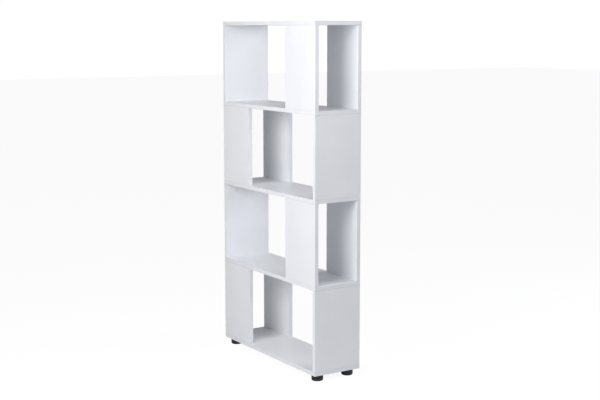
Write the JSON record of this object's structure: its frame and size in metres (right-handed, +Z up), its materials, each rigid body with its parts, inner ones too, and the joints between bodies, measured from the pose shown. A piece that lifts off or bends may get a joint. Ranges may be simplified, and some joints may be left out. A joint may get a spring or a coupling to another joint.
{
  "type": "open display bookcase",
  "caption": "Free-standing white board bookcase, open on both long sides, its tiers closed at alternating ends by panels, on round black levelling feet.",
  "frame": {"origin": "on the floor under the middle of the unit, with the feet fully screwed in", "axes": "+Z up along the height, +X along the width to the end whose bottom tier is closed, the front at -Y"},
  "size_m": [0.8, 0.24, 1.574],
  "materials": {
    "white_melamine_board": "chipboard faced with white melamine, semi-matt and smooth",
    "white_abs_edging": "white ABS edge strip, semi-matt",
    "beech_dowel": "fluted beech dowel",
    "zinc_plated_steel": "bright zinc-plated steel",
    "die_cast_zinc": "bare die-cast zinc",
    "white_plastic_cap": "moulded white plastic",
    "black_plastic_foot": "moulded black polypropylene, fine grain",
    "black_rubber_sole": "dark rubber sole"
  },
  "bodies": {
    "cabinet": {"bottom_board": "white_melamine_board", "bottom_board_edging": "white_abs_edging", "shelf_1": "white_melamine_board", "shelf_1_edging": "white_abs_edging", "shelf_2": "white_melamine_board", "shelf_2_edging": "white_abs_edging", "shelf_3": "white_melamine_board", "shelf_3_edging": "white_abs_edging", "top_board": "white_melamine_board", "top_board_edging": "white_abs_edging", "tier_1_end_panel": "white_melamine_board", "tier_1_front_panel": "white_melamine_board", "tier_1_back_panel": "white_melamine_board", "tier_1_upright_edging": "white_abs_edging", "tier_1_dowels": "beech_dowel", "tier_1_cam_bolts": "zinc_plated_steel", "tier_1_cams": "die_cast_zinc", "tier_1_cam_caps": "white_plastic_cap", "tier_2_end_panel": "white_melamine_board", "tier_2_front_panel": "white_melamine_board", "tier_2_back_panel": "white_melamine_board", "tier_2_upright_edging": "white_abs_edging", "tier_2_dowels": "beech_dowel", "tier_2_cam_bolts": "zinc_plated_steel", "tier_2_cams": "die_cast_zinc", "tier_2_cam_caps": "white_plastic_cap", "tier_3_end_panel": "white_melamine_board", "tier_3_front_panel": "white_melamine_board", "tier_3_back_panel": "white_melamine_board", "tier_3_upright_edging": "white_abs_edging", "tier_3_dowels": "beech_dowel", "tier_3_cam_bolts": "zinc_plated_steel", "tier_3_cams": "die_cast_zinc", "tier_3_cam_caps": "white_plastic_cap", "tier_4_end_panel": "white_melamine_board", "tier_4_front_panel": "white_melamine_board", "tier_4_back_panel": "white_melamine_board", "tier_4_upright_edging": "white_abs_edging", "tier_4_dowels": "beech_dowel", "tier_4_cam_bolts": "zinc_plated_steel", "tier_4_cams": "die_cast_zinc", "tier_4_cam_caps": "white_plastic_cap", "insert_nuts": "zinc_plated_steel", "key_hole_plugs": "white_plastic_cap"},
    "foot_front_left": {"foot_body_front_left": "black_plastic_foot", "foot_sole_front_left": "black_rubber_sole"},
    "stud_front_left": {"foot_stud_front_left": "zinc_plated_steel"},
    "foot_front_right": {"foot_body_front_right": "black_plastic_foot", "foot_sole_front_right": "black_rubber_sole"},
    "stud_front_right": {"foot_stud_front_right": "zinc_plated_steel"},
    "foot_back_left": {"foot_body_back_left": "black_plastic_foot", "foot_sole_back_left": "black_rubber_sole"},
    "stud_back_left": {"foot_stud_back_left": "zinc_plated_steel"},
    "foot_back_right": {"foot_body_back_right": "black_plastic_foot", "foot_sole_back_right": "black_rubber_sole"},
    "stud_back_right": {"foot_stud_back_right": "zinc_plated_steel"}
  },
  "joints": [
    {"name": "level_front_left", "type": "slide", "parent": "cabinet", "child": "foot_front_left", "axis": [0, 0, -1], "range_m": [0, 0.01]},
    {"name": "screw_front_left", "type": "hinge", "parent": "foot_front_left", "child": "stud_front_left", "pos_m": [-0.36, -0.08, 0.02], "axis": [0, 0, -1], "range_deg": [0, 2880]},
    {"name": "level_front_right", "type": "slide", "parent": "cabinet", "child": "foot_front_right", "axis": [0, 0, -1], "range_m": [0, 0.01]},
    {"name": "screw_front_right", "type": "hinge", "parent": "foot_front_right", "child": "stud_front_right", "pos_m": [0.36, -0.08, 0.02], "axis": [0, 0, -1], "range_deg": [0, 2880]},
    {"name": "level_back_left", "type": "slide", "parent": "cabinet", "child": "foot_back_left", "axis": [0, 0, -1], "range_m": [0, 0.01]},
    {"name": "screw_back_left", "type": "hinge", "parent": "foot_back_left", "child": "stud_back_left", "pos_m": [-0.36, 0.08, 0.02], "axis": [0, 0, -1], "range_deg": [0, 2880]},
    {"name": "level_back_right", "type": "slide", "parent": "cabinet", "child": "foot_back_right", "axis": [0, 0, -1], "range_m": [0, 0.01]},
    {"name": "screw_back_right", "type": "hinge", "parent": "foot_back_right", "child": "stud_back_right", "pos_m": [0.36, 0.08, 0.02], "axis": [0, 0, -1], "range_deg": [0, 2880]}
  ],
  "couplings": [
    {"joint": "screw_front_left", "follows": "level_front_left", "rad_per_m": 5026.5},
    {"joint": "screw_front_right", "follows": "level_front_right", "rad_per_m": 5026.5},
    {"joint": "screw_back_left", "follows": "level_back_left", "rad_per_m": 5026.5},
    {"joint": "screw_back_right", "follows": "level_back_right", "rad_per_m": 5026.5}
  ]
}
